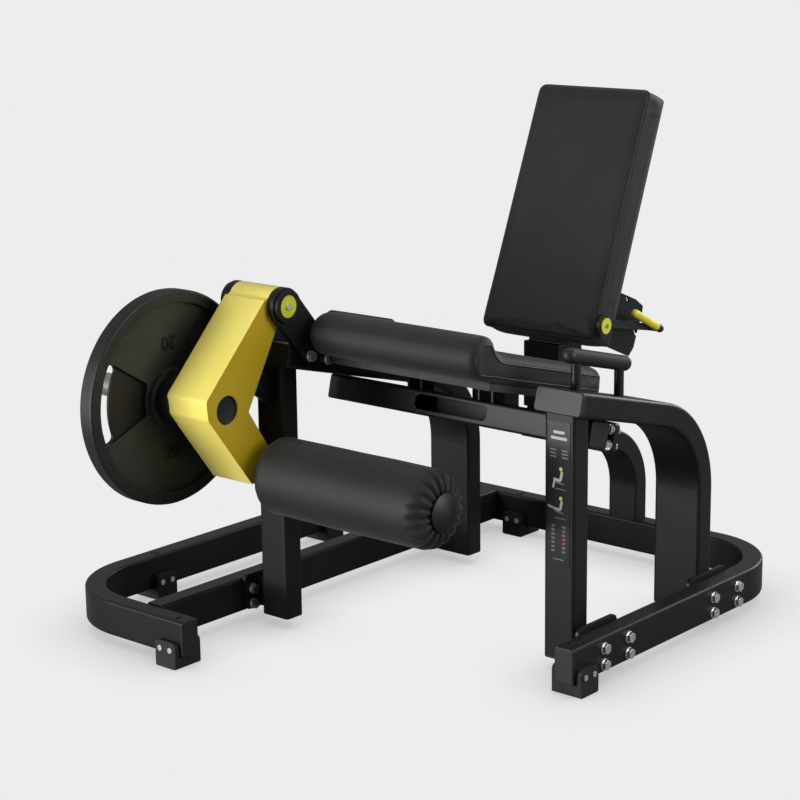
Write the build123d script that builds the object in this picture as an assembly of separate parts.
from build123d import *
import os
from math import cos, hypot, radians, sin, tan

# Plate-loaded leg extension machine. Millimetres, +Z up.
# The sitter faces -Y and sits with +X on the left hand.
# The origin lies on the floor, below the centre of the machine's footprint.

# ---- driving dimensions: placing ----
# Lengths below are drawn from the sitter's reference lines.
# This shift puts the origin below the footprint's centre.
CENTRE_SHIFT = (2.0, -6.125, 0.0)

# ---- driving dimensions: floor frame ----
FOOT_LIFT = 25.0            # floor to the underside of the base tubes
BASE_W = 45.0               # base tube width
BASE_H = 75.0               # base tube height
BASE_WALL = 3.0
BASE_EDGE = 6.0             # outside corner radius of the base tube
BASE_BEND = 172.5           # centre-line radius of the two base bends
BASE_Z = FOOT_LIFT + BASE_H / 2
LEFT_X = -541.5             # centre line of the left base leg
FRONT_Y = -527.5            # centre line of the front base leg
RIGHT_X = 537.5             # centre line of the right base beam
REAR_Y = 631.5              # centre line of the rear base tube
FRONT_END_X = -148.0        # free end of the front base leg, cap included
RIGHT_END_Y = -185.0        # free end of the right base beam, cap included
MIDDLE_X = -274.5           # centre line of the middle base beam
MIDDLE_LIFT = 3.0           # the middle beam sits this much proud of the others
CAP_PLATE = 4.0             # visible thickness of a tube end cap
SLIP = 0.3                  # gap round a plastic plug inside a tube

# ---- driving dimensions: upper frame ----
RAIL_TILT = 14.5            # degrees, the side rails rise towards the front
RAIL_W = 115.0
RAIL_D = 50.0
RAIL_WALL = 3.0
RAIL_EDGE = 8.0
RAIL_BEND = 197.0           # centre-line radius of the side arches
RIGHT_RAIL_X = 449.5
LEFT_RAIL_X = -178.5
ARCH_Y = 363.0              # centre line of the upright rear part of both arches
RAIL_LOW_Z = 504.0          # underside of the rails at y = RAIL_REF_Y
RAIL_REF_Y = 33.0
POST_W = 75.0
POST_D = 50.0
RIGHT_POST_Y = -58.0
LEFT_POST_Y = -225.5
RIGHT_RAIL_FRONT_Y = -76.0  # end of the right rail, before its cap
LEFT_RAIL_FRONT_Y = -236.0
RAIL_CAP = 12.0

# ---- driving dimensions: seat beam, cross tube and rear leg ----
BEAM_TILT = 18.0            # degrees, the seat beam rises towards the front
BEAM_X = 123.5
BEAM_W = 77.0
BEAM_D = 50.0
LEG_D = 45.0
LEG_BEND_Y = 493.0          # centre of the rear leg's bend
LEG_BEND_Z = 180.0
LEG_BEND = 135.5            # centre-line radius of that bend
JOINT_Y = 484.0             # where the rear leg bolts to the seat beam
CROSS_FRONT_Y = -29.0       # front lower edge of the cross tube
CROSS_LOW_Z = 461.0
CROSS_D = 60.0
CROSS_H = 53.0
CROSS_LEFT_X = -214.0
CROSS_RIGHT_X = 478.0
SLOT_W = 192.0              # oblong opening in the cross tube's front face
SLOT_H = 32.0
SLOT_EDGE = 12.0
SLOT_LOW = 12.0             # its lower edge above the tube's lower edge

# ---- driving dimensions: lever, weight and roller ----
PIVOT_Y = -268.0
PIVOT_Z = 713.0
LEVER_W = 110.0
SHEET = 4.0                 # lever sheet thickness
LEVER_TOP_R = 38.0
LEVER_LOW_R = 30.0
# Outline of the bent lever, in y and z.
LEVER_BROW = (-310.0, 728.0)       # where the round top turns into the upper front face
LEVER_KNEE = (-482.0, 549.0)       # upper outer bend
LEVER_CHIN = (-478.0, 511.0)       # lower outer bend
LEVER_TOE = (-361.0, 356.0)        # end of the lower front face
LEVER_HEEL = (-286.0, 384.0)       # rear corner of the lower arm, inside the end circle
LEVER_CROTCH = (-366.0, 507.0)     # inner bend
LEVER_NECK = (-262.0, 697.0)       # rear face's upper end, inside the top circle
ROLLER_Y = -308.0
ROLLER_Z = 367.0
HORN_Y = -434.0
HORN_Z = 528.0
HORN_R = 25.0
HORN_FREE_R = 24.75
HORN_END_X = -478.0
PLATE_R = 223.0
PLATE_T = 36.0
PLATE_FACE_X = -270.0       # face of the plate that rests on the horn collar
PLATE_BORE_R = 25.4
PAD_R = 81.0
PAD_START_X = -108.0
PAD_END_X = 350.0
CORE_R = 30.0
AXLE_R = 12.5
CHEEK_T = 15.0
SHAFT_R = 15.0
BUSH_R = 19.0

# ---- driving dimensions: seat and backrest ----
SEAT_X0 = -94.0
SEAT_X1 = 347.0
NOSE_Y = -181.0             # centre of the rolled front edge
NOSE_Z = 644.0
NOSE_R = 43.0
SEAT_T = 55.0               # thickness of the flat pad behind the roll
SEAT_BACK_Y = 192.0
BOARD_T = 15.0
BACK_TILT = 21.9            # degrees from upright
BACK_X = 141.0
BACK_W = 308.0
BACK_L = 556.0
BACK_T = 54.0
BACK_BOARD_T = 12.0
BACK_TAPER = 5.0            # how much each side pulls in towards the top
BACK_Y = 243.0              # lower front edge of the backrest
BACK_Z = 603.0
YOKE_X0 = 2.0
YOKE_X1 = 280.0
YOKE_T = 5.0
RELEASE_Y = 273.0           # pivot of the release lever
RELEASE_Z = 635.0
RELEASE_X = 300.0

# ---- driving dimensions: fasteners ----
BOLT_R = 6.0
HOLE_R = 6.5
HEX_AF = 19.0
HEAD_T = 8.0
WASHER_R = 12.0
WASHER_T = 2.5
BOLT_Z = (42.0, 76.0)       # the two bolt rows of every post flange

parts = {}
collected = {}


# ---- small helpers ----
def block(x0, x1, y0, y1, z0, z1):
    """A box between two corners."""
    middle = Pos((x0 + x1) / 2, (y0 + y1) / 2, (z0 + z1) / 2)
    return middle * Box(abs(x1 - x0), abs(y1 - y0), abs(z1 - z0))


def rod(start, end, radius):
    """A round bar from one point to another."""
    run = Vector(*end) - Vector(*start)
    place = Plane(origin=start, z_dir=run)
    return place * Cylinder(radius, run.length, align=(Align.CENTER, Align.CENTER, Align.MIN))


def x_rod(x0, x1, y, z, radius):
    """A round bar along X."""
    return rod((min(x0, x1), y, z), (max(x0, x1), y, z), radius)


def side_plane(x):
    """A plane across X whose drawing axes are the machine's Y and Z."""
    return Plane(origin=(x, 0, 0), x_dir=(0, 1, 0), z_dir=(1, 0, 0))


def side_plate(sketch, x0, x1):
    """Extrudes a drawing in Y and Z from x0 to x1."""
    return extrude(side_plane(x0) * sketch, amount=x1 - x0)


def shift(point, direction, distance):
    """Moves a (y, z) point along a (y, z) direction."""
    return (point[0] + direction[0] * distance, point[1] + direction[1] * distance)


def tube(path, width, depth, wall, edge, x_dir):
    """A hollow rounded-rectangle tube swept along a path."""
    start = path @ 0
    outer_place = Plane(origin=start, x_dir=x_dir, z_dir=path % 0)
    outer = sweep(outer_place * RectangleRounded(width, depth, edge), path=path)
    inner_shape = RectangleRounded(width - 2 * wall, depth - 2 * wall, edge - wall + 0.5)
    return outer - sweep(outer_place * inner_shape, path=path)


def group(pieces):
    """Keeps several separate solids together in one node."""
    solids = []
    for piece in pieces:
        solids.extend(piece.solids())
    return Compound(children=solids)


def collect(name, pieces):
    """Adds identical pieces to a node that they share."""
    collected.setdefault(name, []).extend(pieces)


def hex_prism(start, direction, length, across_flats=HEX_AF):
    """A hexagonal bar, for bolt heads and nuts."""
    place = Plane(origin=start, z_dir=direction)
    shape = RegularPolygon(across_flats / 2, 6, major_radius=False)
    return extrude(place * shape, amount=length)


def bolt(start, direction, grip, length):
    """A hex bolt: start is on the clamped face, direction points out of the head."""
    out = Vector(*direction)
    under_head = Vector(*start) + out * WASHER_T
    head = hex_prism(under_head, out, HEAD_T)
    tip = Vector(*start) - out * (grip + length)
    return head + rod(tuple(tip), tuple(under_head), BOLT_R)


def ring(start, direction, inner, outer, length):
    """A flat ring: washers, collars and bushes."""
    end = Vector(*start) + Vector(*direction) * length
    return rod(start, tuple(end), outer) - rod(start, tuple(end), inner)


def nut(start, direction, length=10.0):
    """A hex nut whose near face is at start."""
    end = Vector(*start) + Vector(*direction) * length
    return hex_prism(start, direction, length) - rod(start, tuple(end), BOLT_R + 0.05)


# ---- shared geometry of the inclined members ----
RAIL_UP = (sin(radians(RAIL_TILT)), cos(radians(RAIL_TILT)))
RAIL_FORE = (-cos(radians(RAIL_TILT)), sin(radians(RAIL_TILT)))
BEAM_UP = (sin(radians(BEAM_TILT)), cos(radians(BEAM_TILT)))
BEAM_FORE = (-cos(radians(BEAM_TILT)), sin(radians(BEAM_TILT)))
BACK_UP = (sin(radians(BACK_TILT)), cos(radians(BACK_TILT)))
BACK_REAR = (cos(radians(BACK_TILT)), -sin(radians(BACK_TILT)))


def rail_low(y):
    """Height of the rails' underside."""
    return RAIL_LOW_Z + tan(radians(RAIL_TILT)) * (RAIL_REF_Y - y)


def rail_top(y):
    """Height of the rails' top face."""
    return rail_low(y) + RAIL_D / cos(radians(RAIL_TILT))


def beam_low(y):
    """Height of the seat beam's underside."""
    lead = shift((LEG_BEND_Y, LEG_BEND_Z), BEAM_UP, LEG_BEND - LEG_D / 2)
    return lead[1] + tan(radians(BEAM_TILT)) * (lead[0] - y)


def beam_top(y):
    """Height of the seat beam's top face."""
    return beam_low(y) + BEAM_D / cos(radians(BEAM_TILT))


def seat_low(y):
    """Height of the seat's underside."""
    lead = shift((NOSE_Y, NOSE_Z), RAIL_UP, -NOSE_R)
    return lead[1] - tan(radians(RAIL_TILT)) * (y - lead[0])


def below_rail(solid):
    """Cuts away whatever would rise above the underside of the rails."""
    place = Plane(origin=(0, RAIL_REF_Y, RAIL_LOW_Z), x_dir=(1, 0, 0), z_dir=(0, *RAIL_UP))
    cutter = place * Box(3000, 3000, 600, align=(Align.CENTER, Align.CENTER, Align.MIN))
    return solid - cutter


# ---- bolted post flanges: (inner face of the base tube, side sign, bolt rows along Y) ----
BEAM_SIDE_X = MIDDLE_X + BASE_W / 2
TUBE_SIDE_X = RIGHT_X - BASE_W / 2
POST_BOLT_OFFSETS = (-23.0, 61.0)
ARCH_BOLT_OFFSETS = (-47.0, 47.0)
POST_SPACER = (-8.0, 24.0)  # where the spacer stands along the post, clear of the bolts
ARCH_SPACER = (-18.0, 18.0)
FLANGE_T = 8.0
FLANGE_MARGIN = 24.0


def bolt_spots():
    """Every post bolt as (head face x, outward sign, y, z)."""
    spots = []
    for centre, offsets in ((RIGHT_POST_Y, POST_BOLT_OFFSETS), (ARCH_Y, ARCH_BOLT_OFFSETS)):
        for offset in offsets:
            for z in BOLT_Z:
                spots.append((RIGHT_X + BASE_W / 2, 1, centre + offset, z))
    for centre, offsets in ((LEFT_POST_Y, POST_BOLT_OFFSETS), (ARCH_Y, ARCH_BOLT_OFFSETS)):
        for offset in offsets:
            for z in BOLT_Z:
                spots.append((BEAM_SIDE_X + FLANGE_T, 1, centre + offset, z))
    return spots


def drill(solid):
    """Drills the post bolt holes through a solid."""
    for x, sign, y, z in bolt_spots():
        solid = solid - x_rod(x - BASE_W - 2 * FLANGE_T, x + FLANGE_T, y, z, HOLE_R)
    return solid


# ---- floor frame ----
FOOT_L = 58.0
FOOT_FLAP = 13.0
FOOT_TOP = 57.0
PLUG_R = 10.0
# Each foot: centre x, centre y, and True where its tube runs along X.
FEET = (
    (-186.0, FRONT_Y, True),
    (LEFT_X, -256.0, False),
    (LEFT_X, 300.0, False),
    (-193.0, REAR_Y, True),
    (300.0, REAR_Y, True),
    (RIGHT_X, -146.0, False),
)


def plug_holes(solid):
    """The round holes in the tube tops, one above each foot."""
    for x, y, _ in FEET:
        solid = solid - rod((x, y, BASE_Z), (x, y, FOOT_LIFT + BASE_H + 5), PLUG_R - 1.5)
    return solid


def base_tubes():
    left_path = FilletPolyline(
        (FRONT_END_X - CAP_PLATE, FRONT_Y, BASE_Z),
        (LEFT_X, FRONT_Y, BASE_Z),
        (LEFT_X, REAR_Y - BASE_W / 2, BASE_Z),
        radius=BASE_BEND,
    )
    rear_path = FilletPolyline(
        (RIGHT_X, RIGHT_END_Y + CAP_PLATE, BASE_Z),
        (RIGHT_X, REAR_Y, BASE_Z),
        (LEFT_X - BASE_W / 2 + CAP_PLATE, REAR_Y, BASE_Z),
        radius=BASE_BEND,
    )
    left = tube(left_path, BASE_W, BASE_H, BASE_WALL, BASE_EDGE, (0, 1, 0))
    rear = tube(rear_path, BASE_W, BASE_H, BASE_WALL, BASE_EDGE, (1, 0, 0))
    middle_path = Line(
        (MIDDLE_X, FRONT_Y + BASE_W / 2, BASE_Z + MIDDLE_LIFT),
        (MIDDLE_X, REAR_Y - BASE_W / 2, BASE_Z + MIDDLE_LIFT),
    )
    middle = tube(middle_path, BASE_W, BASE_H, BASE_WALL, BASE_EDGE, (1, 0, 0))
    parts["left_base_tube"] = plug_holes(left)
    parts["rear_base_tube"] = drill(plug_holes(rear))
    parts["middle_base_beam"] = drill(middle)


def end_cap(place, width, depth, edge, wall, plate, plug):
    """A plastic cap: a plate that covers the tube end, and a plug that enters it."""
    cover = extrude(place * RectangleRounded(width, depth, edge), amount=plate)
    outer_edges = cover.faces().sort_by(Axis(place.origin, place.z_dir))[-1].edges()
    cover = fillet(outer_edges, min(3.0, plate * 0.6))
    slip_wall = wall + SLIP
    stem = RectangleRounded(width - 2 * slip_wall, depth - 2 * slip_wall, edge - wall)
    return cover + extrude(place * stem, amount=-plug)


def base_end_caps():
    size = (BASE_W, BASE_H, BASE_EDGE, BASE_WALL, CAP_PLATE, 18.0)
    front = Plane(origin=(FRONT_END_X - CAP_PLATE, FRONT_Y, BASE_Z), x_dir=(0, 1, 0), z_dir=(1, 0, 0))
    right = Plane(origin=(RIGHT_X, RIGHT_END_Y + CAP_PLATE, BASE_Z), x_dir=(1, 0, 0), z_dir=(0, -1, 0))
    rear_x = LEFT_X - BASE_W / 2 + CAP_PLATE
    rear = Plane(origin=(rear_x, REAR_Y, BASE_Z), x_dir=(0, 1, 0), z_dir=(-1, 0, 0))
    collect("tube_end_caps", [end_cap(place, *size) for place in (front, right, rear)])


def foot_place(x, y, along_x):
    """Foot drawing plane: first axis along the tube, second axis up."""
    if along_x:
        return Plane(origin=(x, y, 0), x_dir=(1, 0, 0), z_dir=(0, -1, 0))
    return Plane(origin=(x, y, 0), x_dir=(0, 1, 0), z_dir=(1, 0, 0))


def foot(x, y, along_x):
    """A moulded shoe: a sole below the tube and a rounded flap on each side of it."""
    half = BASE_W / 2 + FOOT_FLAP
    place = foot_place(x, y, along_x)
    outline = Pos(0, FOOT_TOP / 2) * RectangleRounded(FOOT_L, FOOT_TOP, 10)
    sole = Pos(0, FOOT_TOP / 4) * RectangleRounded(FOOT_L, FOOT_TOP / 2, 4)
    body = extrude(place * (outline + sole), amount=half, both=True)
    channel = Pos(0, FOOT_LIFT + 50) * Rectangle(FOOT_L + 10, 100)
    return body - extrude(place * channel, amount=BASE_W / 2 + 0.05, both=True)


def foot_screws(x, y, along_x):
    """Two dome-headed screws in each flap."""
    screws = []
    place = foot_place(x, y, along_x)
    for along in (-14.5, 14.5):
        for side in (-1, 1):
            face = place.from_local_coords(Vector(along, 40.0, side * (BASE_W / 2 + FOOT_FLAP)))
            out = place.z_dir * side
            tip = face + out * 2.2
            screws.append(rod(tuple(face), tuple(tip), 6.0))
    return screws


def feet():
    parts["base_feet"] = group([foot(*spot) for spot in FEET])
    screws = []
    plugs = []
    top = FOOT_LIFT + BASE_H
    for x, y, along_x in FEET:
        screws.extend(foot_screws(x, y, along_x))
        disc = rod((x, y, top), (x, y, top + 1.5), PLUG_R)
        plugs.append(disc + rod((x, y, top - 10), (x, y, top), PLUG_R - 1.5 - SLIP))
    collect("small_screws", screws)
    parts["tube_plugs"] = group(plugs)


# ---- posts, arches and their flanges ----
def arch(rail_x, front_y):
    """A side arch: upright at the rear, bent over into the inclined rail."""
    middle = RAIL_D / 2 / cos(radians(RAIL_TILT))
    path = FilletPolyline(
        (rail_x, ARCH_Y, FOOT_LIFT + CAP_PLATE),
        (rail_x, ARCH_Y, rail_low(ARCH_Y) + middle),
        (rail_x, front_y, rail_low(front_y) + middle),
        radius=RAIL_BEND,
    )
    return tube(path, RAIL_W, RAIL_D, RAIL_WALL, RAIL_EDGE, (1, 0, 0))


def post(rail_x, y):
    """A front post: upright, cut to the slope of the rail it carries."""
    foot_z = FOOT_LIFT + CAP_PLATE
    path = Line((rail_x, y, foot_z), (rail_x, y, rail_top(y)))
    return below_rail(tube(path, POST_W, POST_D, RAIL_WALL, RAIL_EDGE, (1, 0, 0)))


def flange(centre_y, offsets, tube_x, side, post_x, spacer_span):
    """A bolting plate against the base tube, with a spacer out to the post."""
    y0 = centre_y + offsets[0] - FLANGE_MARGIN
    y1 = centre_y + offsets[1] + FLANGE_MARGIN
    z0 = 31.0
    z1 = FOOT_LIFT + BASE_H + 10
    outline = Pos((y0 + y1) / 2, (z0 + z1) / 2) * RectangleRounded(y1 - y0, z1 - z0, 14)
    plate = side_plate(outline, min(tube_x, tube_x + side * FLANGE_T), max(tube_x, tube_x + side * FLANGE_T))
    near = tube_x + side * FLANGE_T
    if abs(post_x - near) < 1:
        return plate
    start, end = spacer_span
    spacer = block(near, post_x, centre_y + start, centre_y + end, z0 + 4, z1 - 14)
    return plate + spacer


def uprights():
    left_side = LEFT_RAIL_X - RAIL_W / 2
    left_flanges = [
        flange(LEFT_POST_Y, POST_BOLT_OFFSETS, BEAM_SIDE_X, 1, LEFT_RAIL_X - POST_W / 2, POST_SPACER),
        flange(ARCH_Y, ARCH_BOLT_OFFSETS, BEAM_SIDE_X, 1, left_side, ARCH_SPACER),
    ]
    right_post_side = RIGHT_RAIL_X + POST_W / 2
    right_side = RIGHT_RAIL_X + RAIL_W / 2
    right_flanges = [
        flange(RIGHT_POST_Y, POST_BOLT_OFFSETS, TUBE_SIDE_X, -1, right_post_side, POST_SPACER),
        flange(ARCH_Y, ARCH_BOLT_OFFSETS, TUBE_SIDE_X, -1, right_side, ARCH_SPACER),
    ]
    parts["left_arch"] = cheek_bolt_holes(arch(LEFT_RAIL_X, LEFT_RAIL_FRONT_Y))
    parts["right_arch"] = arch(RIGHT_RAIL_X, RIGHT_RAIL_FRONT_Y)
    parts["front_posts"] = group([post(LEFT_RAIL_X, LEFT_POST_Y), post(RIGHT_RAIL_X, RIGHT_POST_Y)])
    parts["post_flanges"] = group([drill(piece) for piece in left_flanges + right_flanges])
    caps = []
    for x, y, width in (
        (LEFT_RAIL_X, LEFT_POST_Y, POST_W),
        (RIGHT_RAIL_X, RIGHT_POST_Y, POST_W),
        (LEFT_RAIL_X, ARCH_Y, RAIL_W),
        (RIGHT_RAIL_X, ARCH_Y, RAIL_W),
    ):
        place = Plane(origin=(x, y, FOOT_LIFT + CAP_PLATE), x_dir=(1, 0, 0), z_dir=(0, 0, -1))
        caps.append(end_cap(place, width, POST_D, RAIL_EDGE, RAIL_WALL, CAP_PLATE, 14.0))
    parts["post_foot_caps"] = group(caps)
    rail_caps = []
    for x, y in ((LEFT_RAIL_X, LEFT_RAIL_FRONT_Y), (RIGHT_RAIL_X, RIGHT_RAIL_FRONT_Y)):
        middle = rail_low(y) + RAIL_D / 2 / cos(radians(RAIL_TILT))
        place = Plane(origin=(x, y, middle), x_dir=(1, 0, 0), z_dir=(0, *RAIL_FORE))
        rail_caps.append(end_cap(place, RAIL_W, RAIL_D, RAIL_EDGE, RAIL_WALL, RAIL_CAP, 16.0))
    parts["rail_front_caps"] = group(rail_caps)


def flange_bolts():
    bolts = []
    washers = []
    nuts = []
    for x, sign, y, z in bolt_spots():
        face = (x, y, z)
        out = (sign, 0, 0)
        bolts.append(bolt(face, out, BASE_W + FLANGE_T, 12.0))
        washers.append(ring(face, out, HOLE_R, WASHER_R, WASHER_T))
        back_x = x - BASE_W - FLANGE_T
        nuts.append(nut((back_x, y, z), (-sign, 0, 0)))
    collect("frame_bolts", bolts)
    collect("frame_washers", washers)
    collect("frame_nuts", nuts)


# ---- seat beam, cross tube, rear leg ----
JOINT_PLATE_T = 8.0
JOINT_BOLT_X = (BEAM_X - 53.0, BEAM_X + 53.0)
PIN_SLOT_W = 14.0
PIN_Y = 352.0
TRAVEL_BACK = 40.0          # backrest travel down the beam from rest
TRAVEL_FORE = 60.0          # backrest travel up the beam from rest


def joint_place(distance=0.0):
    """The bolted joint of seat beam and rear leg: a plane square to the beam."""
    middle = (JOINT_Y, beam_low(JOINT_Y) + BEAM_D / 2 / cos(radians(BEAM_TILT)))
    y, z = shift(middle, BEAM_FORE, distance)
    return Plane(origin=(BEAM_X, y, z), x_dir=(1, 0, 0), z_dir=(0, *BEAM_FORE))


def cross_tube():
    """Runs across the machine below both rails, square to them."""
    low = (CROSS_FRONT_Y, CROSS_LOW_Z)
    centre = shift(shift(low, RAIL_UP, CROSS_H / 2), RAIL_FORE, -CROSS_D / 2)
    path = Line((CROSS_LEFT_X, *centre), (CROSS_RIGHT_X, *centre))
    body = tube(path, CROSS_D, CROSS_H, BASE_WALL, BASE_EDGE, (0, *RAIL_FORE))
    caps = []
    for x, sign in ((CROSS_LEFT_X, -1), (CROSS_RIGHT_X, 1)):
        place = Plane(origin=(x, *centre), x_dir=(0, *RAIL_FORE), z_dir=(sign, 0, 0))
        caps.append(end_cap(place, CROSS_D, CROSS_H, BASE_EDGE, BASE_WALL, CAP_PLATE, 18.0))
    slot_up = SLOT_LOW + SLOT_H / 2 - CROSS_H / 2
    middle = shift(centre, RAIL_UP, slot_up)
    slot_place = Plane(origin=(BEAM_X, *middle), x_dir=(1, 0, 0), z_dir=(0, *RAIL_FORE))
    body = body - extrude(slot_place * RectangleRounded(SLOT_W, SLOT_H, SLOT_EDGE), amount=CROSS_D)
    parts["cross_tube"] = below_rail(body)
    collect("tube_end_caps", [below_rail(cap) for cap in caps])


def seat_beam():
    """Carries the seat and guides the backrest carriage."""
    rear = joint_place(JOINT_PLATE_T)
    run = 505.0
    fore = Vector(0, *BEAM_FORE)
    path = Line(tuple(rear.origin), tuple(rear.origin + fore * run))
    body = tube(path, BEAM_W, BEAM_D, RAIL_WALL, BASE_EDGE, (1, 0, 0))
    low = (CROSS_FRONT_Y, CROSS_LOW_Z)
    back = shift(low, RAIL_FORE, -CROSS_D)
    place = Plane(origin=(BEAM_X, *back), x_dir=(1, 0, 0), z_dir=(0, *RAIL_FORE))
    body = body - place * Box(400, 400, 400, align=(Align.CENTER, Align.CENTER, Align.MIN))
    run = TRAVEL_BACK + TRAVEL_FORE + PIN_SLOT_W
    middle = shift((PIN_Y, beam_top(PIN_Y)), BEAM_FORE, (TRAVEL_FORE - TRAVEL_BACK) / 2)
    slot_place = Plane(origin=(BEAM_X, *middle), x_dir=(1, 0, 0), z_dir=(0, *BEAM_UP))
    slot = slot_place * RectangleRounded(PIN_SLOT_W, run, PIN_SLOT_W / 2 - 0.01)
    parts["seat_beam"] = body - extrude(slot, amount=BEAM_D / 4, both=True)


def rear_leg():
    z0 = FOOT_LIFT + BASE_H
    turn = tan(radians((90 - BEAM_TILT) / 2)) * LEG_BEND
    corner = (LEG_BEND_Y + LEG_BEND, LEG_BEND_Z + turn)
    end = joint_place(-JOINT_PLATE_T)
    run = hypot(corner[0] - end.origin.Y, corner[1] - end.origin.Z)
    front = shift(corner, BEAM_FORE, run)
    path = FilletPolyline((BEAM_X, corner[0], z0), (BEAM_X, *corner), (BEAM_X, *front), radius=LEG_BEND)
    body = tube(path, BEAM_W, LEG_D, RAIL_WALL, BASE_EDGE, (1, 0, 0))
    parts["rear_leg"] = body - end * Box(400, 400, 400, align=(Align.CENTER, Align.CENTER, Align.MIN))


def joint_plates():
    """The two plates and the four bolts that join the rear leg to the seat beam."""
    outline = RectangleRounded(BEAM_W + 54, BEAM_D + 20, 10)
    holes = []
    for x in JOINT_BOLT_X:
        for up in (-18.0, 18.0):
            holes.append((x - BEAM_X, up))
    plates = []
    bolts = []
    washers = []
    nuts = []
    for distance in (-JOINT_PLATE_T, 0.0):
        place = joint_place(distance)
        plate = extrude(place * outline, amount=JOINT_PLATE_T)
        for along, up in holes:
            hole = place * Pos(along, up, 0) * Cylinder(HOLE_R, 40)
            plate = plate - hole
        plates.append(plate)
    front = joint_place(JOINT_PLATE_T)
    rear = joint_place(-JOINT_PLATE_T)
    for along, up in holes:
        face = front.from_local_coords(Vector(along, up, 0))
        back = rear.from_local_coords(Vector(along, up, 0))
        bolts.append(bolt(tuple(face), tuple(front.z_dir), 2 * JOINT_PLATE_T, 14.0))
        washers.append(ring(tuple(face), tuple(front.z_dir), HOLE_R, WASHER_R, WASHER_T))
        nuts.append(nut(tuple(back), tuple(front.z_dir * -1)))
    parts["beam_joint_plates"] = group(plates)
    collect("frame_bolts", bolts)
    collect("frame_washers", washers)
    collect("frame_nuts", nuts)


# ---- pivot fork ----
CHEEK_BOLTS = ((-199.0, 597.0), (-146.0, 582.0))
CHEEK_INNER = (LEFT_RAIL_X - RAIL_W / 2, LEFT_RAIL_X + RAIL_W / 2)
BOSS_R = 34.0
BOSS_T = 9.0
CAP_R = 23.5


def cheek_bolt_holes(solid):
    for y, z in CHEEK_BOLTS:
        solid = solid - x_rod(CHEEK_INNER[0] - 5, CHEEK_INNER[1] + 5, y, z, HOLE_R)
    return solid


def cheek_outline():
    """Rounded at the pivot, running down and back onto the side of the rail."""
    lean = (0.645, -0.764)
    front = (lean[1], -lean[0])
    circle = Pos(PIVOT_Y, PIVOT_Z) * Circle(LEVER_TOP_R)
    front_tangent = shift((PIVOT_Y, PIVOT_Z), front, LEVER_TOP_R)
    rear_tangent = shift((PIVOT_Y, PIVOT_Z), front, -LEVER_TOP_R)
    points = [
        front_tangent,
        shift(front_tangent, lean, 132.0),
        (-198.0, rail_low(-198.0) + 2),
        (-112.0, rail_low(-112.0) + 2),
        (-112.0, rail_top(-112.0)),
        (-168.0, 640.0),
        shift(rear_tangent, lean, 104.0),
        rear_tangent,
    ]
    return circle + make_face(Polyline(*points, close=True))


def pivot_fork():
    outline = cheek_outline()
    inner_left, inner_right = CHEEK_INNER
    spans = ((inner_left - CHEEK_T, inner_left, -1), (inner_right, inner_right + CHEEK_T, 1))
    cheeks = []
    bosses = []
    discs = []
    screws = []
    bolts = []
    nuts = []
    for x0, x1, side in spans:
        plate = side_plate(outline, x0, x1)
        plate = plate - x_rod(x0 - 1, x1 + 1, PIVOT_Y, PIVOT_Z, SHAFT_R + 0.05)
        for y, z in CHEEK_BOLTS:
            plate = plate - x_rod(x0 - 1, x1 + 1, y, z, HOLE_R)
        cheeks.append(plate)
        face = x1 if side > 0 else x0
        out = (side, 0, 0)
        boss = ring((face, PIVOT_Y, PIVOT_Z), out, CAP_R + 0.2, BOSS_R, BOSS_T)
        bosses.append(boss)
        disc = ring((face + side * 2.0, PIVOT_Y, PIVOT_Z), out, 4.2, CAP_R, BOSS_T - 3.5)
        discs.append(disc)
        head = rod(
            (face + side * (BOSS_T - 1.5), PIVOT_Y, PIVOT_Z),
            (face + side * (BOSS_T + 2.5), PIVOT_Y, PIVOT_Z),
            7.5,
        )
        stem_start = (face + side * 1.0, PIVOT_Y, PIVOT_Z)
        stem_end = (face + side * (BOSS_T - 1.5), PIVOT_Y, PIVOT_Z)
        screws.append(head + rod(stem_start, stem_end, 4.0))
        if side > 0:
            for y, z in CHEEK_BOLTS:
                bolts.append(bolt((face, y, z), out, RAIL_W + 2 * CHEEK_T, 12.0))
        else:
            for y, z in CHEEK_BOLTS:
                nuts.append(nut((face, y, z), out))
    parts["pivot_cheeks"] = group(cheeks)
    parts["pivot_bosses"] = group(bosses)
    parts["pivot_caps"] = group(discs)
    collect("small_screws", screws)
    washers = []
    for y, z in CHEEK_BOLTS:
        washers.append(ring((inner_right + CHEEK_T, y, z), (1, 0, 0), HOLE_R, WASHER_R, WASHER_T))
    collect("frame_bolts", bolts)
    collect("frame_washers", washers)
    collect("frame_nuts", nuts)
    shaft_end = CHEEK_T + 0.5
    parts["pivot_shaft"] = x_rod(inner_left - shaft_end, inner_right + shaft_end, PIVOT_Y, PIVOT_Z, SHAFT_R)


STOP_LIFT = 522.0           # height of the stop bracket on the left front post
STOP_DIR = (-0.877, 0.480)  # square to the rear face of the lever's upper arm
STOP_R = 20.0
STOP_L = 31.0


def lever_stop():
    """A welded bracket on the left front post, with a rubber buffer the lever rests on."""
    post_face = LEFT_POST_Y - POST_D / 2
    root = (post_face, STOP_LIFT)
    side = (STOP_DIR[1], -STOP_DIR[0])
    arm = 62.0
    tip = shift(root, STOP_DIR, arm)
    points = [
        (post_face, STOP_LIFT - 30),
        shift(tip, side, -18),
        shift(tip, side, 18),
        (post_face, STOP_LIFT + 38),
    ]
    outline = make_face(Polyline(*points, close=True))
    parts["stop_bracket"] = side_plate(outline, LEFT_RAIL_X - 6, LEFT_RAIL_X + 6)
    start = (LEFT_RAIL_X, *tip)
    end = (LEFT_RAIL_X, *shift(tip, STOP_DIR, STOP_L))
    parts["stop_buffer"] = rod(start, end, STOP_R)


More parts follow.
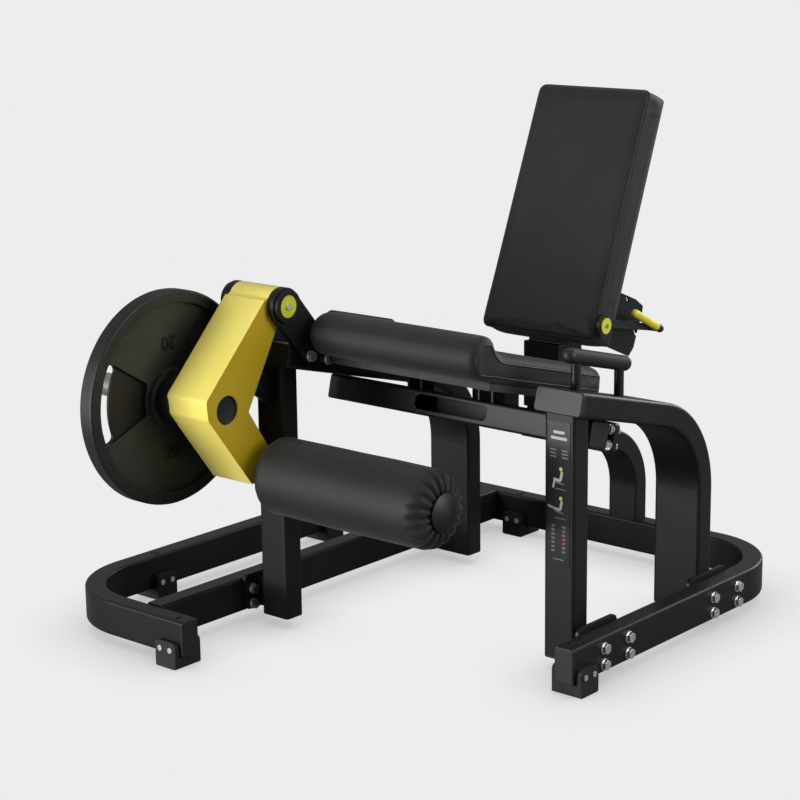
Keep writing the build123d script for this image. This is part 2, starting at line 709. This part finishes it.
# ---- lever ----
LEVER_X0 = LEFT_RAIL_X - LEVER_W / 2
LEVER_X1 = LEFT_RAIL_X + LEVER_W / 2


def unit(start, end):
    length = hypot(end[0] - start[0], end[1] - start[1])
    return ((end[0] - start[0]) / length, (end[1] - start[1]) / length)


def lever_outline(inset):
    """Side outline of the bent lever; inset shrinks it by the sheet thickness."""
    points = [
        (PIVOT_Y, PIVOT_Z + LEVER_TOP_R),
        LEVER_BROW,
        LEVER_KNEE,
        LEVER_CHIN,
        LEVER_TOE,
        (ROLLER_Y, ROLLER_Z - LEVER_LOW_R),
        (ROLLER_Y, ROLLER_Z),
        LEVER_HEEL,
        LEVER_CROTCH,
        LEVER_NECK,
    ]
    shape = make_face(Polyline(*points, close=True))
    shape = shape + Pos(PIVOT_Y, PIVOT_Z) * Circle(LEVER_TOP_R)
    shape = shape + Pos(ROLLER_Y, ROLLER_Z) * Circle(LEVER_LOW_R)
    if inset:
        return offset(shape, -inset, kind=Kind.INTERSECTION)
    return shape


HUB_R = 28.0
SOCKET_R = 24.0
WINDOW_R = 30.0             # round opening in the lever's inner side
WINDOW_Y = -426.0
WINDOW_Z = 522.0


def lever():
    """The bent box of folded sheet, with the cross tubes for the pivot and the roller axle."""
    body = side_plate(lever_outline(0), LEVER_X0, LEVER_X1)
    body = body - side_plate(lever_outline(SHEET), LEVER_X0 + SHEET, LEVER_X1 - SHEET)
    body = body - x_rod(LEVER_X0 - 1, LEVER_X1 + 1, PIVOT_Y, PIVOT_Z, HUB_R)
    body = body - x_rod(LEVER_X0 - 1, LEVER_X1 + 1, ROLLER_Y, ROLLER_Z, SOCKET_R)
    body = body - x_rod(LEVER_X1 - SHEET - 1, LEVER_X1 + 1, WINDOW_Y, WINDOW_Z, WINDOW_R)
    parts["lever_box"] = body
    hub = ring((LEVER_X0, PIVOT_Y, PIVOT_Z), (1, 0, 0), BUSH_R, HUB_R, LEVER_W)
    bushes = []
    for x0 in (LEVER_X0, LEVER_X1 - 30):
        bushes.append(ring((x0, PIVOT_Y, PIVOT_Z), (1, 0, 0), SHAFT_R + 0.05, BUSH_R, 30.0))
    parts["pivot_bushes"] = group(bushes)
    socket = ring((LEVER_X0, ROLLER_Y, ROLLER_Z), (1, 0, 0), AXLE_R + 0.05, SOCKET_R, LEVER_W + 6)
    parts["lever_cross_tubes"] = group([hub, socket])


def weight_horn():
    """The bar that carries weight plates, with its collar and end cap."""
    step_x = PLATE_FACE_X - PLATE_T - 14
    body = x_rod(LEVER_X0, step_x, HORN_Y, HORN_Z, HORN_R)
    body = body + x_rod(step_x, HORN_END_X + 6, HORN_Y, HORN_Z, HORN_FREE_R)
    parts["weight_horn"] = body
    collar_x = PLATE_FACE_X
    parts["horn_collar"] = ring((collar_x, HORN_Y, HORN_Z), (1, 0, 0), HORN_R, 52.0, LEVER_X0 - collar_x)
    cap = x_rod(HORN_END_X, HORN_END_X + 6, HORN_Y, HORN_Z, HORN_FREE_R)
    parts["horn_end_cap"] = fillet(cap.edges().group_by(Axis.X)[0], 3.0)


# ---- weight plate ----
RIM_W = 25.0
PLATE_WEB_T = 16.0
PLATE_HUB_R = 62.0
SLOT_IN_R = 160.0
SLOT_OUT_R = 190.0
WINDOW_TURNS = (175.0, 355.0)      # directions of the two grip openings, in degrees
WINDOW_HALF = 27.0
POCKET_DEPTH = 9.0          # how far the pockets sink below the web
INSERT_R = 36.0


def sector(inner, outer, centre_deg, half_deg):
    """A piece of a ring between two radii, drawn about the origin."""
    band = Circle(outer) - Circle(inner)
    reach = outer * 2
    edge_a = radians(centre_deg - half_deg)
    edge_b = radians(centre_deg + half_deg)
    wedge = make_face(
        Polyline(
            (0, 0),
            (reach * cos(edge_a), reach * sin(edge_a)),
            (reach * cos(edge_b), reach * sin(edge_b)),
            close=True,
        )
    )
    return band & wedge


def weight_plate():
    """A dished disc with a raised rim and hub, and two pockets that each end in a grip opening."""
    x1 = PLATE_FACE_X
    x0 = PLATE_FACE_X - PLATE_T
    place = Plane(origin=(x0, HORN_Y, HORN_Z), x_dir=(0, 1, 0), z_dir=(1, 0, 0))
    body = extrude(place * Circle(PLATE_R), amount=PLATE_T)
    body = fillet(body.edges(), 5.0)
    dish_depth = (PLATE_T - PLATE_WEB_T) / 2
    dish = Circle(PLATE_R - RIM_W) - Circle(PLATE_HUB_R)
    body = body - extrude(place * dish, amount=dish_depth)
    body = body - extrude(place.offset(PLATE_T) * dish, amount=-dish_depth)
    for turn in WINDOW_TURNS:
        pocket = sector(PLATE_HUB_R + 8, SLOT_OUT_R, turn, WINDOW_HALF)
        pocket = fillet(pocket.vertices(), 12.0)
        body = body - extrude(place.offset(PLATE_T) * pocket, amount=-dish_depth - POCKET_DEPTH)
        slot = sector(SLOT_IN_R, SLOT_OUT_R, turn, WINDOW_HALF)
        slot = fillet(slot.vertices(), 12.0)
        body = body - extrude(place * slot, amount=PLATE_T)
    body = body - x_rod(x0 - 1, x1 + 1, HORN_Y, HORN_Z, INSERT_R)
    parts["weight_plate"] = body
    parts["plate_insert"] = ring((x0, HORN_Y, HORN_Z), (1, 0, 0), PLATE_BORE_R, INSERT_R, PLATE_T)


# ---- shin roller ----
CAP_DOME_R = 40.0


def roller():
    """The fixed axle, and the core, foam pad and end discs that turn on it."""
    axle_end = PAD_END_X - 6
    axle = x_rod(LEVER_X0 - 16, axle_end, ROLLER_Y, ROLLER_Z, AXLE_R)
    parts["roller_axle"] = axle
    nut_body = hex_prism((LEVER_X0 - 12, ROLLER_Y, ROLLER_Z), (1, 0, 0), 12.0, 36.0)
    bore = AXLE_R + 0.05
    parts["roller_axle_nut"] = nut_body - x_rod(LEVER_X0 - 13, LEVER_X0 + 1, ROLLER_Y, ROLLER_Z, bore)
    core_length = axle_end - PAD_START_X - 4
    parts["roller_core"] = ring((PAD_START_X, ROLLER_Y, ROLLER_Z), (1, 0, 0), bore, CORE_R, core_length)
    pad_x = PAD_START_X + 2
    pad_length = PAD_END_X - 6 - pad_x
    pad = ring((pad_x, ROLLER_Y, ROLLER_Z), (1, 0, 0), CORE_R + 0.3, PAD_R, pad_length)
    parts["roller_pad"] = fillet(pad.edges().filter_by(GeomType.CIRCLE).group_by(SortBy.RADIUS)[-1], 16.0)
    dome_place = Plane(origin=(PAD_END_X - 5, ROLLER_Y, ROLLER_Z), x_dir=(0, 1, 0), z_dir=(1, 0, 0))
    dome_rise = 9.0
    dome_radius = (CAP_DOME_R**2 + dome_rise**2) / (2 * dome_rise)
    ball = dome_place * Pos(0, 0, dome_rise - dome_radius) * Sphere(dome_radius)
    disc = extrude(dome_place * Circle(CAP_DOME_R), amount=dome_rise + 1)
    parts["roller_end_cap"] = disc & ball


# ---- seat ----
BRACKET_T = 5.0
BRACKET_X = (20.0, 210.0)   # where the two front seat brackets stand on the cross tube
BRACKET_W = 40.0
BRACKET_Y = (-14.0, 26.0)
REAR_BRACKET_Y = (95.0, 165.0)
BOARD_GAP = 0.3             # the upholstery rests on its board with this drawing gap


def seat():
    nose = (NOSE_Y, NOSE_Z)
    low_lead = shift(nose, RAIL_UP, -NOSE_R)
    run = (SEAT_BACK_Y - low_lead[0]) / cos(radians(RAIL_TILT))
    low_end = shift(low_lead, RAIL_FORE, -run)
    top_end = shift(low_end, RAIL_UP, SEAT_T)
    top_lead = shift(shift(low_lead, RAIL_UP, SEAT_T), RAIL_FORE, -NOSE_R / 2)
    body = make_face(Polyline(low_lead, top_lead, top_end, low_end, close=True))
    shape = body + Pos(*nose) * Circle(NOSE_R)
    parts["seat_cushion"] = side_plate(shape, SEAT_X0, SEAT_X1)
    front = shift(shift(low_lead, RAIL_FORE, -36.0), RAIL_UP, -BOARD_GAP)
    end = shift(shift(low_end, RAIL_FORE, 6.0), RAIL_UP, -BOARD_GAP)
    corners = [front, end, shift(end, RAIL_UP, -BOARD_T), shift(front, RAIL_UP, -BOARD_T)]
    outline = make_face(Polyline(*corners, close=True))
    parts["seat_board"] = side_plate(outline, SEAT_X0 + 12, SEAT_X1 - 12)


def board_low(y):
    """Height of the seat board's underside."""
    return seat_low(y) - (BOARD_GAP + BOARD_T) / cos(radians(RAIL_TILT))


def channel(x0, x1, y0, y1, floor, low_end, ceiling, high_end):
    """A folded U channel standing between two slopes, open at its front and back."""
    corners = [(y0, floor), (y1, low_end), (y1, high_end), (y0, ceiling)]
    outline = make_face(Polyline(*corners, close=True))
    body = side_plate(outline, x0, x1)
    inner = [(y0 - 1, floor - 1), (y1 + 1, low_end - 1)]
    slope = (high_end - ceiling) / (y1 - y0)
    inner.append((y1 + 1, high_end + slope - BRACKET_T))
    inner.append((y0 - 1, ceiling - slope - BRACKET_T))
    hollow = make_face(Polyline(*inner, close=True))
    return body - side_plate(hollow, x0 + BRACKET_T, x1 - BRACKET_T)


def seat_brackets():
    """Two channels on the cross tube and one on the seat beam carry the seat board."""
    tube_top = shift((CROSS_FRONT_Y, CROSS_LOW_Z), RAIL_UP, CROSS_H)

    def cross_top(y):
        return tube_top[1] - tan(radians(RAIL_TILT)) * (y - tube_top[0])

    brackets = []
    y0, y1 = BRACKET_Y
    for x in BRACKET_X:
        span = (x - BRACKET_W / 2, x + BRACKET_W / 2, y0, y1)
        brackets.append(channel(*span, cross_top(y0), cross_top(y1), board_low(y0), board_low(y1)))
    y0, y1 = REAR_BRACKET_Y
    span = (BEAM_X - BEAM_W / 2 + 3, BEAM_X + BEAM_W / 2 - 3, y0, y1)
    brackets.append(channel(*span, beam_top(y0), beam_top(y1), board_low(y0), board_low(y1)))
    parts["seat_brackets"] = group(brackets)


# ---- user handles ----
HANDLE_R = 12.5
GRIP_R = 16.0
HANDLE_LIFT = 69.0          # grip centre above the rail
HANDLE_FRONT_Y = -66.0
HANDLE_BACK_Y = 150.0
HANDLE_LEGS_Y = (-30.0, 118.0)
HANDLE_LEG_R = 10.0


def handle_line(y):
    """Height of the grip's centre line."""
    return rail_top(y) + HANDLE_LIFT


def handles():
    """A bar on two legs above each rail, with a rubber grip and two domed ends."""
    bars = []
    grips = []
    ends = []
    rail_face = Plane(origin=(0, RAIL_REF_Y, rail_top(RAIL_REF_Y)), x_dir=(1, 0, 0), z_dir=(0, *RAIL_UP))
    under_rail = rail_face * Box(3000, 3000, 200, align=(Align.CENTER, Align.CENTER, Align.MAX))
    front_y = HANDLE_FRONT_Y + GRIP_R
    back_y = HANDLE_BACK_Y - GRIP_R
    for x in (LEFT_RAIL_X, RIGHT_RAIL_X):
        start = (x, front_y, handle_line(front_y))
        end = (x, back_y, handle_line(back_y))
        bar = rod(start, end, HANDLE_R)
        grip = rod(start, end, GRIP_R) - rod(start, end, HANDLE_R + 0.05)
        for y in HANDLE_LEGS_Y:
            low = (x, y, rail_top(y) - 5)
            bar = bar + rod(low, (x, y, handle_line(y)), HANDLE_LEG_R)
            grip = grip - rod(low, (x, y, handle_line(y)), HANDLE_LEG_R + 1.0)
        bars.append(bar - under_rail)
        grips.append(grip.solids().sort_by(SortBy.VOLUME)[-1])
        for point, run in ((start, -1), (end, 1)):
            place = Plane(origin=point, z_dir=(0, -RAIL_FORE[0] * run, -RAIL_FORE[1] * run))
            half = place * Box(80, 80, 80, align=(Align.CENTER, Align.CENTER, Align.MIN))
            ends.append((place * Sphere(GRIP_R)) & half)
    parts["handle_bars"] = group(bars)
    parts["handle_grips"] = group(grips)
    parts["handle_end_domes"] = group(ends)


def placard():
    """A thin plate on the front face of the right front post."""
    face_y = RIGHT_POST_Y - POST_D / 2
    outline = RectangleRounded(54.0, 294.0, 3.0)
    place = Plane(origin=(RIGHT_RAIL_X, face_y, 373.0), x_dir=(1, 0, 0), z_dir=(0, -1, 0))
    parts["instruction_plate"] = extrude(place * outline, amount=1.0)


# ---- backrest ----
LINER_T = 3.0
LINER_GAP = 0.3
SLEEVE_T = 5.0
CARRIAGE_L = 110.0
NECK_T = 5.0
PIN_R = 6.0
HOUSING_R = 13.0
HOUSING_L = 46.0
SPRING_CAVITY_R = 10.5
PIN_DEPTH = 10.0            # how far the pin's nose enters the beam
BACK_STACK = BACK_T + BOARD_GAP + BACK_BOARD_T


def back_place(depth):
    """Drawing plane parallel to the backrest, depth behind its front face."""
    y, z = shift((BACK_Y, BACK_Z), BACK_REAR, depth)
    return Plane(origin=(BACK_X, y, z), x_dir=(1, 0, 0), z_dir=(0, -BACK_REAR[0], -BACK_REAR[1]))


def back_point(up, depth):
    """A (y, z) point: distance up the backrest, and depth behind its front face."""
    return shift(shift((BACK_Y, BACK_Z), BACK_UP, up), BACK_REAR, depth)


def back_outline(margin):
    """The backrest's face, narrower at its top."""
    low = BACK_W / 2 - margin
    high = low - BACK_TAPER
    corners = [(-low, margin), (low, margin), (high, BACK_L - margin), (-high, BACK_L - margin)]
    face = make_face(Polyline(*corners, close=True))
    return fillet(face.vertices(), 14 - margin)


def backrest():
    parts["backrest_cushion"] = extrude(back_place(0) * back_outline(0), amount=-BACK_T)
    board = extrude(back_place(BACK_T + BOARD_GAP) * back_outline(3), amount=-BACK_BOARD_T)
    parts["backrest_board"] = board


CHEEK_REAR = ((450.0, 648.0), (447.0, 631.0), (428.0, 591.0), (416.0, 561.0), (398.0, 545.0))
CHEEK_SLOTS = ((392.0, 671.0), (422.0, 594.0))
BRACKET_RISE = 126.0


def back_bracket():
    """A folded plate behind the backrest board: a web, a short left cheek and a long right cheek."""
    back = BACK_STACK
    web = Pos(0, BRACKET_RISE / 2 + 4) * Rectangle(YOKE_X1 - YOKE_X0, BRACKET_RISE - 8)
    web_place = back_place(back)
    web_place = Plane(
        origin=((YOKE_X0 + YOKE_X1) / 2, web_place.origin.Y, web_place.origin.Z),
        x_dir=(1, 0, 0),
        z_dir=tuple(web_place.z_dir),
    )
    body = extrude(web_place * web, amount=-YOKE_T)
    top = [back_point(BRACKET_RISE, back), back_point(BRACKET_RISE, back + 76)]
    right = make_face(Polyline(*top, *CHEEK_REAR, back_point(6, back), close=True))
    for point in CHEEK_SLOTS:
        right = right - Pos(*point) * Rot(0, 0, -60) * SlotOverall(18, 7)
    body = body + side_plate(right, YOKE_X1 - YOKE_T, YOKE_X1)
    low = [back_point(16, back + 40), back_point(16, back)]
    left = make_face(Polyline(*top, *CHEEK_REAR[:2], *low, close=True))
    return body + side_plate(left, YOKE_X0, YOKE_X0 + YOKE_T)


NECK_FRONT_Y = 290.0
NECK_REAR_Y = 402.0
NECK_TOP_Z = 572.0


def sleeve_top(y):
    """Height of the carriage sleeve's upper face."""
    return beam_top(y) + (SLEEVE_T + LINER_T + LINER_GAP) / cos(radians(BEAM_TILT))


def carriage_neck():
    """The box section between the carriage sleeve and the backrest bracket."""
    half = BEAM_W / 2 + LINER_GAP + LINER_T + SLEEVE_T
    front_top = (NECK_FRONT_Y, NECK_TOP_Z)
    web_rear = BACK_STACK + YOKE_T + BOARD_GAP
    corners = [
        (NECK_FRONT_Y, sleeve_top(NECK_FRONT_Y)),
        front_top,
        (NECK_FRONT_Y + 9, NECK_TOP_Z),
        back_point(-6, web_rear),
        back_point(96, web_rear),
        back_point(60, web_rear + 36),
        (NECK_REAR_Y, sleeve_top(NECK_REAR_Y)),
    ]
    inner = [
        (NECK_FRONT_Y + NECK_T, sleeve_top(NECK_FRONT_Y + NECK_T) - 2),
        (NECK_FRONT_Y + NECK_T, NECK_TOP_Z - NECK_T),
        (NECK_FRONT_Y + 9, NECK_TOP_Z - NECK_T),
        back_point(-8, web_rear + NECK_T),
        back_point(84, web_rear + NECK_T),
        back_point(56, web_rear + 36 - NECK_T),
        (NECK_REAR_Y - NECK_T, sleeve_top(NECK_REAR_Y - NECK_T) - 2),
    ]
    body = side_plate(make_face(Polyline(*corners, close=True)), BEAM_X - half, BEAM_X + half)
    hollow = make_face(Polyline(*inner, close=True))
    return body - side_plate(hollow, BEAM_X - half + NECK_T, BEAM_X + half - NECK_T)


def beam_axis_place(y, up=0.0):
    """A plane square to the seat beam, on the beam's centre line, up along the beam's normal."""
    centre = shift((y, beam_top(y)), BEAM_UP, up - BEAM_D / 2)
    return Plane(origin=(BEAM_X, *centre), x_dir=(1, 0, 0), z_dir=(0, *BEAM_FORE))


def pin_point(up):
    """A point on the lock pin's axis, measured up from the beam's top face."""
    return (BEAM_X, *shift((PIN_Y, beam_top(PIN_Y)), BEAM_UP, up))


def carriage():
    """A sleeve on the seat beam, lined with plastic, with the lock pin's housing on top."""
    place = beam_axis_place(PIN_Y)
    liner_w = BEAM_W + 2 * (LINER_GAP + LINER_T)
    liner_d = BEAM_D + 2 * (LINER_GAP + LINER_T)
    outer = Rectangle(liner_w + 2 * SLEEVE_T, liner_d + 2 * SLEEVE_T)
    sleeve = extrude(place * outer, amount=CARRIAGE_L / 2, both=True)
    sleeve = sleeve - extrude(place * Rectangle(liner_w, liner_d), amount=CARRIAGE_L, both=True)
    sleeve = sleeve - rod(pin_point(-2), pin_point(40), HOUSING_R + 0.05)
    parts["carriage_sleeve"] = sleeve
    liners = []
    for along in (-1, 1):
        spot = place.offset(along * (CARRIAGE_L / 2 - 16))
        liner = extrude(spot * Rectangle(liner_w, liner_d), amount=15, both=True)
        inner = Rectangle(BEAM_W + 2 * LINER_GAP, BEAM_D + 2 * LINER_GAP)
        liners.append(liner - extrude(spot * inner, amount=40, both=True))
    parts["carriage_liners"] = group(liners)
    low = LINER_GAP + LINER_T + 0.5
    housing = rod(pin_point(low), pin_point(low + HOUSING_L), HOUSING_R)
    housing = housing - rod(pin_point(low + 8), pin_point(low + HOUSING_L - 5), SPRING_CAVITY_R)
    parts["pin_housing"] = housing - rod(pin_point(low - 1), pin_point(low + HOUSING_L + 1), PIN_R + 0.05)


PIN_COLLAR_UP = 13.0
PIN_COLLAR_T = 4.0
PIN_COLLAR_R = 9.5
PIN_HEAD_UP = 55.0
PIN_HEAD_T = 7.0
SPRING_R = 8.2
WIRE_R = 0.8


def lock_pin():
    """The sprung pin whose nose drops into the seat beam, and its spring."""
    pin = rod(pin_point(-PIN_DEPTH), pin_point(PIN_HEAD_UP), PIN_R)
    pin = pin + rod(pin_point(PIN_COLLAR_UP), pin_point(PIN_COLLAR_UP + PIN_COLLAR_T), PIN_COLLAR_R)
    parts["lock_pin"] = pin + rod(pin_point(PIN_HEAD_UP), pin_point(PIN_HEAD_UP + PIN_HEAD_T), 10.0)
    low = PIN_COLLAR_UP + PIN_COLLAR_T + WIRE_R + 0.4
    high = LINER_GAP + LINER_T + 0.5 + HOUSING_L - 5 - WIRE_R - 0.4
    place = Plane(origin=pin_point(low), z_dir=(0, *BEAM_UP))
    coil = Helix(pitch=4.6, height=high - low, radius=SPRING_R)
    wire = Plane(origin=coil @ 0, z_dir=coil % 0) * Circle(WIRE_R)
    parts["lock_spring"] = place * sweep(wire, path=coil)


# ---- release lever ----
ARM_T = 6.0
GRIP_FROM = (464.0, 600.0)
GRIP_TO = (369.0, 648.0)
RELEASE_GRIP_R = 9.0
RELEASE_HUB_R = 24.0
HUB_COVER_R = 17.0
STRAP_T = 4.0
STRAP_TAIL = (400.0, 618.0)


def strip(start, end, start_half, end_half):
    """A straight bar outline between two (y, z) points."""
    run = unit(start, end)
    side = (-run[1], run[0])
    corners = [
        shift(start, side, start_half),
        shift(end, side, end_half),
        shift(end, side, -end_half),
        shift(start, side, -start_half),
    ]
    return make_face(Polyline(*corners, close=True))


def release_bracket():
    """A flat strap from the right cheek to the release pivot, and the pivot pin."""
    x0 = RELEASE_X - STRAP_T - 1.0
    x1 = RELEASE_X - 1.0
    hub = (RELEASE_Y, RELEASE_Z)
    outline = strip(hub, STRAP_TAIL, 7, 7) + Pos(*hub) * Circle(20.0)
    strap = side_plate(outline, x0, x1)
    tab = block(YOKE_X1, x0, 378.0, 396.0, 612.0, 626.0)
    parts["release_bracket"] = (strap + tab) - x_rod(x0 - 2, x1 + 2, *hub, 5.0)
    parts["release_pivot_pin"] = x_rod(x0, RELEASE_X + ARM_T + 5, *hub, 5.0)


def release_lever():
    """The flat lever with its moulded end, its yellow grip and the hub cover."""
    hub = (RELEASE_Y, RELEASE_Z)
    root = (RELEASE_Y, RELEASE_Z + 6)
    outline = strip(root, GRIP_FROM, 9, 7) + Pos(*hub) * Circle(RELEASE_HUB_R)
    outline = outline + Pos(*GRIP_FROM) * Circle(7.0)
    arm = side_plate(outline, RELEASE_X, RELEASE_X + ARM_T)
    arm = arm - x_rod(RELEASE_X - 1, RELEASE_X + ARM_T + 1, *hub, 5.05)
    lead = unit(GRIP_FROM, GRIP_TO)
    grip_start = shift(GRIP_FROM, lead, 14.0)
    grip_x = RELEASE_X + ARM_T + RELEASE_GRIP_R
    arm = arm + rod((grip_x, *GRIP_FROM), (grip_x, *grip_start), RELEASE_GRIP_R)
    arm = arm + Pos(grip_x, *GRIP_FROM) * Sphere(RELEASE_GRIP_R)
    y, z = GRIP_FROM
    arm = arm + block(RELEASE_X, grip_x, y - 8, y + 6, z - 6, z + 6)
    parts["release_lever"] = arm
    parts["release_hub_cover"] = ring((RELEASE_X + ARM_T, *hub), (1, 0, 0), 5.05, HUB_COVER_R, 3.0)
    grip = rod((grip_x, *grip_start), (grip_x, *GRIP_TO), RELEASE_GRIP_R)
    parts["release_grip"] = grip + Pos(grip_x, *GRIP_TO) * Sphere(RELEASE_GRIP_R)


def write_parts():
    os.makedirs("parts", exist_ok=True)
    for name, pieces in collected.items():
        parts[name] = group(pieces)
    for name, shape in parts.items():
        placed = group([Pos(*CENTRE_SHIFT) * solid for solid in shape.solids()])
        export_step(placed, f"parts/{name}.step")


base_tubes()
base_end_caps()
feet()
uprights()
flange_bolts()
cross_tube()
seat_beam()
rear_leg()
joint_plates()
pivot_fork()
lever_stop()
lever()
weight_horn()
weight_plate()
roller()
seat()
seat_brackets()
handles()
placard()
backrest()
parts["backrest_bracket"] = back_bracket()
parts["carriage_neck"] = carriage_neck()
carriage()
lock_pin()
release_bracket()
release_lever()
write_parts()
